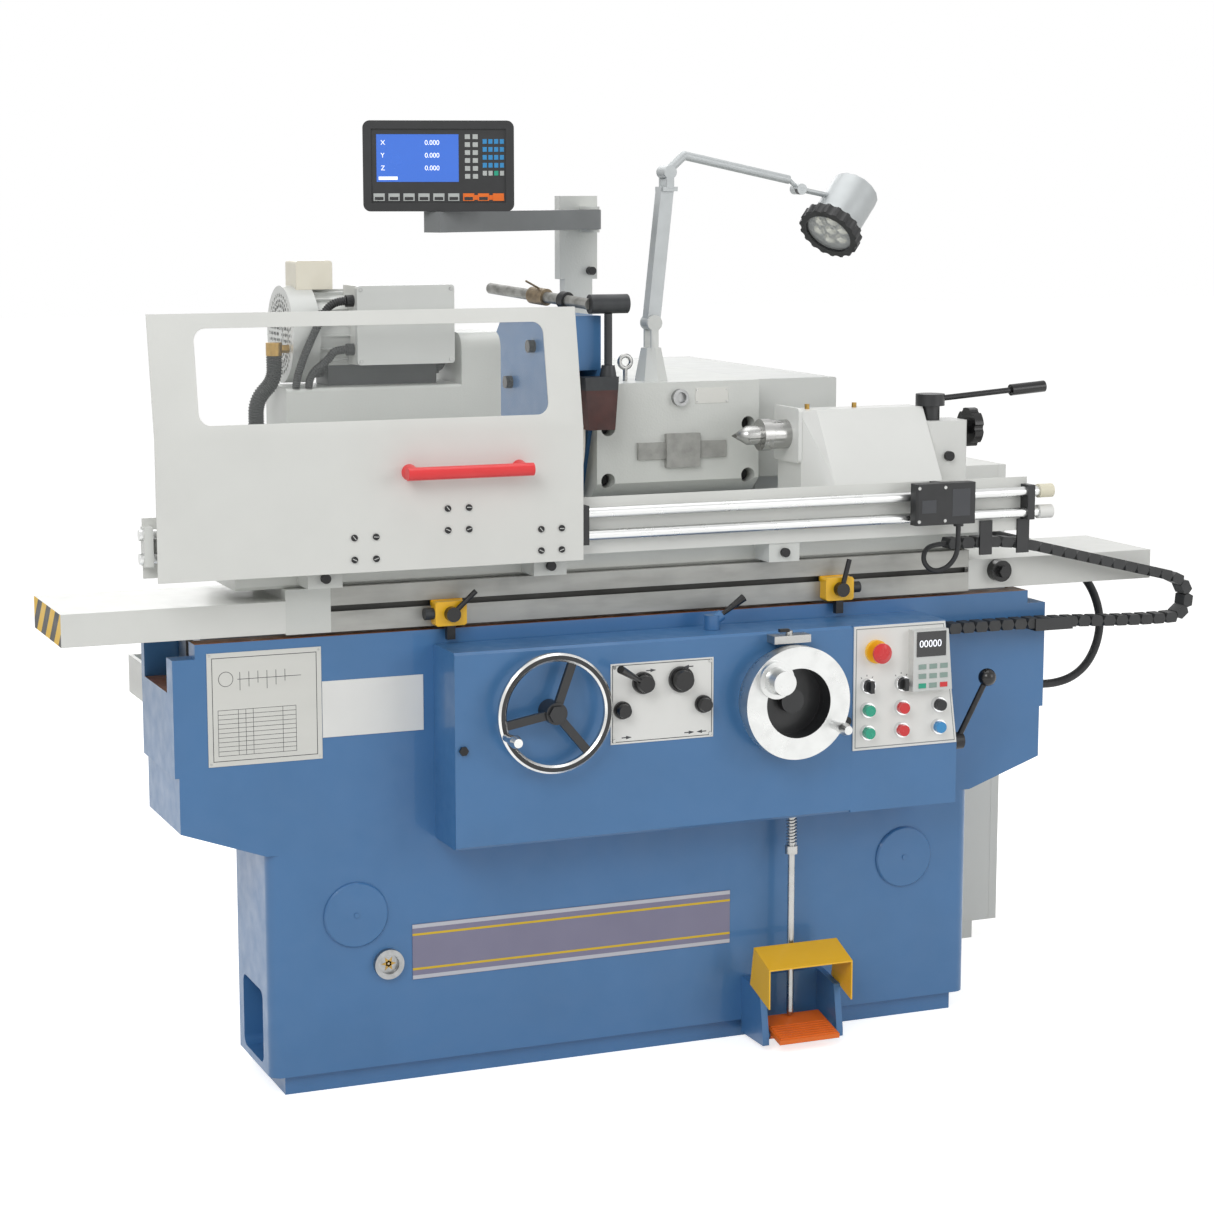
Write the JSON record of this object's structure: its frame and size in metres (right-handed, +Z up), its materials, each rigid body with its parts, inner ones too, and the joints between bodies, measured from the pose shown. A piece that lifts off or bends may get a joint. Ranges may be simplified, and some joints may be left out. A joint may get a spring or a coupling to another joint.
{
  "type": "cylindrical grinding machine",
  "caption": "Floor-standing cylindrical grinder with travelling table, workhead, tailstock, wheelhead, sliding splash guard, readout and lamp.",
  "frame": {"origin": "on the floor, under the middle of the front bed", "axes": "+X along the table to the operator's right, +Y from the operator to the back, +Z up"},
  "size_m": [2.3545, 1.345, 1.8203],
  "materials": {
    "blue_enamel": "satin enamel on cast iron, fine orange peel",
    "grey_enamel": "pebbled light grey enamel on cast iron",
    "grey_sheet": "smooth light grey powder coat on sheet steel",
    "table_iron": "ground cast iron with painted flanks",
    "ground_steel": "ground steel",
    "rail_steel": "bright round rails on grey sheet",
    "spring_steel": "bright drawn wire",
    "lever_steel": "blackened steel with a black grip",
    "polished_aluminium": "turned and polished rim",
    "plate_aluminium": "printed aluminium plates, left bare",
    "motor_aluminium": "painted die-cast aluminium",
    "lamp_aluminium": "grey coated aluminium",
    "pulley_iron": "machined grey iron",
    "wheel_steel": "vitrified white abrasive between steel flanges",
    "nozzle_metal": "black fittings and grey pipe",
    "guard_sheet": "blue enamel on sheet steel",
    "orange_enamel": "orange enamel on cast tread",
    "yellow_enamel": "yellow enamel with blued steel",
    "arm_enamel": "mid grey enamel",
    "panel_plastic": "moulded plastic and nickelled bezels",
    "knob_plastic": "black phenolic",
    "black_plastic": "black moulded plastic",
    "red_plastic": "red moulded plastic",
    "green_plastic": "green moulded plastic",
    "blue_plastic": "blue moulded plastic",
    "chain_plastic": "dark grey moulded links",
    "hose_plastic": "black ribbed hose",
    "console_plastic": "black housing around a keypad film",
    "cable_rubber": "black sheath"
  },
  "bodies": {
    "machine_base": {"bed_casting": "blue_enamel", "guideways": "ground_steel", "apron_housing": "blue_enamel", "front_fittings": "plate_aluminium", "panel_hardware": "panel_plastic", "pedal_bracket": "blue_enamel", "pedal_spring": "spring_steel", "electrical_cabinet": "grey_sheet", "cable_chain": "chain_plastic", "power_cable": "cable_rubber"},
    "table": {"lower_table": "table_iron", "table_covers": "grey_sheet"},
    "swivel_table": {"upper_table": "grey_enamel", "guard_frame": "rail_steel", "switch_box": "black_plastic", "switch_cable": "cable_rubber", "workhead_body": "grey_enamel", "workhead_motor": "motor_aluminium", "workhead_hoses": "hose_plastic"},
    "sliding_door": {"guard_door": "grey_sheet", "door_handle": "red_plastic"},
    "left_dog": {"left_dog": "yellow_enamel"},
    "right_dog": {"right_dog": "yellow_enamel"},
    "work_spindle": {"workhead_spindle": "ground_steel"},
    "tailstock": {"tailstock_body": "grey_enamel"},
    "quill": {"tailstock_quill": "ground_steel"},
    "quill_lever": {"tailstock_lever": "lever_steel"},
    "quill_knob": {"tailstock_knob": "knob_plastic"},
    "infeed_slide": {"wheelhead_slide": "grey_enamel"},
    "wheelhead": {"wheelhead_body": "grey_enamel", "wheelhead_fittings": "grey_enamel", "wheel_guard": "guard_sheet", "coolant_nozzle": "nozzle_metal"},
    "wheel_spindle": {"grinding_wheel": "wheel_steel"},
    "motor_pulley": {"motor_pulley": "pulley_iron"},
    "lamp_arm": {"lamp_arm": "lamp_aluminium"},
    "lamp_boom": {"lamp_boom": "lamp_aluminium"},
    "lamp_head": {"lamp_head": "lamp_aluminium"},
    "readout_arm": {"readout_arm": "arm_enamel"},
    "readout_console": {"readout_console": "console_plastic"},
    "cabinet_door": {"cabinet_door": "grey_sheet"},
    "table_handwheel": {"table_handwheel": "polished_aluminium"},
    "infeed_handwheel": {"infeed_handwheel": "polished_aluminium"},
    "rapid_knob": {"rapid_knob": "knob_plastic"},
    "feed_knob": {"feed_knob": "knob_plastic"},
    "left_stop_knob": {"left_stop_knob": "knob_plastic"},
    "right_stop_knob": {"right_stop_knob": "knob_plastic"},
    "stop_button": {"stop_button": "red_plastic"},
    "start_button": {"start_button": "green_plastic"},
    "pump_button": {"pump_button": "green_plastic"},
    "wheel_stop_button": {"wheel_stop_button": "red_plastic"},
    "pump_stop_button": {"pump_stop_button": "red_plastic"},
    "wheel_start_button": {"wheel_start_button": "black_plastic"},
    "feed_button": {"feed_button": "blue_plastic"},
    "coolant_selector": {"coolant_selector": "black_plastic"},
    "work_selector": {"work_selector": "black_plastic"},
    "reversing_lever": {"reversing_lever": "knob_plastic"},
    "start_lever": {"start_lever": "knob_plastic"},
    "foot_pedal": {"foot_pedal": "orange_enamel"},
    "pedal_rod": {"pedal_rod": "ground_steel"}
  },
  "joints": [
    {"name": "table_traverse", "type": "slide", "parent": "machine_base", "child": "table", "axis": [1, 0, 0], "range_m": [-0.25, 0.14], "deforming": ["cable_chain"]},
    {"name": "table_wheel_turn", "type": "hinge", "parent": "machine_base", "child": "table_handwheel", "pos_m": [-0.232, -0.35, 0.729], "axis": [0, 1, 0], "range_deg": [-4505, 2525]},
    {"name": "infeed", "type": "slide", "parent": "machine_base", "child": "infeed_slide", "axis": [0, -1, 0], "range_m": [0, 0.045]},
    {"name": "infeed_wheel_turn", "type": "hinge", "parent": "machine_base", "child": "infeed_handwheel", "pos_m": [0.259, -0.35, 0.716], "axis": [0, 1, 0], "range_deg": [0, 4052]},
    {"name": "left_dog_slide", "type": "slide", "parent": "table", "child": "left_dog", "axis": [1, 0, 0], "range_m": [-0.15, 0.3]},
    {"name": "right_dog_slide", "type": "slide", "parent": "table", "child": "right_dog", "axis": [1, 0, 0], "range_m": [-0.3, 0.25]},
    {"name": "table_swivel", "type": "hinge", "parent": "table", "child": "swivel_table", "pos_m": [-0.015, -0.074, 1], "axis": [0, 0, 1], "range_deg": [-3, 3]},
    {"name": "door_slide", "type": "slide", "parent": "swivel_table", "child": "sliding_door", "axis": [1, 0, 0], "range_m": [0, 0.68]},
    {"name": "work_spindle_turn", "type": "hinge", "parent": "swivel_table", "child": "work_spindle", "pos_m": [-0.3, -0.07, 1.204], "axis": [1, 0, 0], "continuous": true},
    {"name": "tailstock_slide", "type": "slide", "parent": "swivel_table", "child": "tailstock", "axis": [1, 0, 0], "range_m": [-0.2, 0.03]},
    {"name": "quill_slide", "type": "slide", "parent": "tailstock", "child": "quill", "axis": [1, 0, 0], "range_m": [0, 0.0255], "stiffness_N_per_m": 3000},
    {"name": "quill_lever_turn", "type": "hinge", "parent": "tailstock", "child": "quill_lever", "pos_m": [0.706, -0.07, 1.25], "axis": [0, 0, 1], "range_deg": [-60, 0]},
    {"name": "quill_knob_turn", "type": "hinge", "parent": "tailstock", "child": "quill_knob", "pos_m": [0.79, -0.07, 1.204], "axis": [1, 0, 0], "continuous": true},
    {"name": "wheelhead_swivel", "type": "hinge", "parent": "infeed_slide", "child": "wheelhead", "pos_m": [0.186, 0.33, 1.05], "axis": [0, 0, 1], "range_deg": [-5, 7]},
    {"name": "wheel_spin", "type": "hinge", "parent": "wheelhead", "child": "wheel_spindle", "pos_m": [0, 0.168, 1.204], "axis": [1, 0, 0], "continuous": true},
    {"name": "pulley_spin", "type": "hinge", "parent": "wheelhead", "child": "motor_pulley", "pos_m": [0.4, 0.7, 1.204], "axis": [1, 0, 0], "continuous": true},
    {"name": "lamp_arm_hinge", "type": "hinge", "parent": "wheelhead", "child": "lamp_arm", "pos_m": [0.155, 0.1, 1.423], "axis": [0, 1, 0], "range_deg": [-40, 10]},
    {"name": "lamp_boom_hinge", "type": "hinge", "parent": "lamp_arm", "child": "lamp_boom", "pos_m": [0.188, 0.1, 1.724], "axis": [0, 1, 0], "range_deg": [-40, 15]},
    {"name": "lamp_head_hinge", "type": "hinge", "parent": "lamp_boom", "child": "lamp_head", "pos_m": [0.484, 0.1, 1.69], "axis": [0, 1, 0], "range_deg": [-25, 25]},
    {"name": "readout_arm_hinge", "type": "hinge", "parent": "wheelhead", "child": "readout_arm", "pos_m": [0.1, 0.285, 1.628], "axis": [0, 0, 1], "range_deg": [-20, 60]},
    {"name": "readout_console_hinge", "type": "hinge", "parent": "readout_arm", "child": "readout_console", "pos_m": [-0.31569, 0.045, 1.65], "axis": [0, 0, 1], "range_deg": [-45, 45]},
    {"name": "cabinet_door_hinge", "type": "hinge", "parent": "machine_base", "child": "cabinet_door", "pos_m": [1.0695, 0.691, 0.56], "axis": [0, 0, 1], "range_deg": [0, 110]},
    {"name": "rapid_knob_turn", "type": "hinge", "parent": "machine_base", "child": "rapid_knob", "pos_m": [-0.042, -0.32, 0.768], "axis": [0, 1, 0], "range_deg": [-20, 20]},
    {"name": "feed_knob_turn", "type": "hinge", "parent": "machine_base", "child": "feed_knob", "pos_m": [0.037, -0.32, 0.769], "axis": [0, 1, 0], "range_deg": [-135, 135]},
    {"name": "left_stop_knob_turn", "type": "hinge", "parent": "machine_base", "child": "left_stop_knob", "pos_m": [-0.084, -0.32, 0.718], "axis": [0, 1, 0], "range_deg": [-135, 135]},
    {"name": "right_stop_knob_turn", "type": "hinge", "parent": "machine_base", "child": "right_stop_knob", "pos_m": [0.084, -0.32, 0.718], "axis": [0, 1, 0], "range_deg": [-135, 135]},
    {"name": "stop_press", "type": "slide", "parent": "machine_base", "child": "stop_button", "axis": [0, 1, 0], "range_m": [0, 0.006], "stiffness_N_per_m": 500},
    {"name": "start_press", "type": "slide", "parent": "machine_base", "child": "start_button", "axis": [0, 1, 0], "range_m": [0, 0.003], "stiffness_N_per_m": 500},
    {"name": "pump_press", "type": "slide", "parent": "machine_base", "child": "pump_button", "axis": [0, 1, 0], "range_m": [0, 0.003], "stiffness_N_per_m": 500},
    {"name": "wheel_stop_press", "type": "slide", "parent": "machine_base", "child": "wheel_stop_button", "axis": [0, 1, 0], "range_m": [0, 0.003], "stiffness_N_per_m": 500},
    {"name": "pump_stop_press", "type": "slide", "parent": "machine_base", "child": "pump_stop_button", "axis": [0, 1, 0], "range_m": [0, 0.003], "stiffness_N_per_m": 500},
    {"name": "wheel_start_press", "type": "slide", "parent": "machine_base", "child": "wheel_start_button", "axis": [0, 1, 0], "range_m": [0, 0.003], "stiffness_N_per_m": 500},
    {"name": "feed_press", "type": "slide", "parent": "machine_base", "child": "feed_button", "axis": [0, 1, 0], "range_m": [0, 0.003], "stiffness_N_per_m": 500},
    {"name": "coolant_selector_turn", "type": "hinge", "parent": "machine_base", "child": "coolant_selector", "pos_m": [0.437, -0.33, 0.728], "axis": [0, 1, 0], "range_deg": [-45, 45]},
    {"name": "work_selector_turn", "type": "hinge", "parent": "machine_base", "child": "work_selector", "pos_m": [0.513, -0.33, 0.728], "axis": [0, 1, 0], "range_deg": [-45, 45]},
    {"name": "reversing_lever_turn", "type": "hinge", "parent": "machine_base", "child": "reversing_lever", "pos_m": [0.135, -0.246, 0.86], "axis": [0, 0, 1], "range_deg": [-20, 20]},
    {"name": "start_lever_turn", "type": "hinge", "parent": "machine_base", "child": "start_lever", "pos_m": [0.65, -0.298, 0.597], "axis": [1, 0, 0], "range_deg": [-25, 25]},
    {"name": "pedal_press", "type": "hinge", "parent": "machine_base", "child": "foot_pedal", "pos_m": [0.318, -0.275, 0.02758], "axis": [1, 0, 0], "range_deg": [0, 8]},
    {"name": "pedal_rod_lift", "type": "slide", "parent": "machine_base", "child": "pedal_rod", "axis": [0, 0, 1], "range_m": [0, 0.0055], "stiffness_N_per_m": 1200, "springref_m": -0.004, "deforming": ["pedal_spring"]}
  ],
  "couplings": [
    {"joint": "table_wheel_turn", "follows": "table_traverse", "rad_per_m": 314.16},
    {"joint": "infeed_wheel_turn", "follows": "infeed", "rad_per_m": 1570.8},
    {"joint": "quill_slide", "follows": "quill_lever_turn", "m_per_rad": -0.024},
    {"joint": "pulley_spin", "follows": "wheel_spin", "ratio": 1},
    {"joint": "pedal_rod_lift", "follows": "pedal_press", "m_per_rad": 0.038}
  ]
}
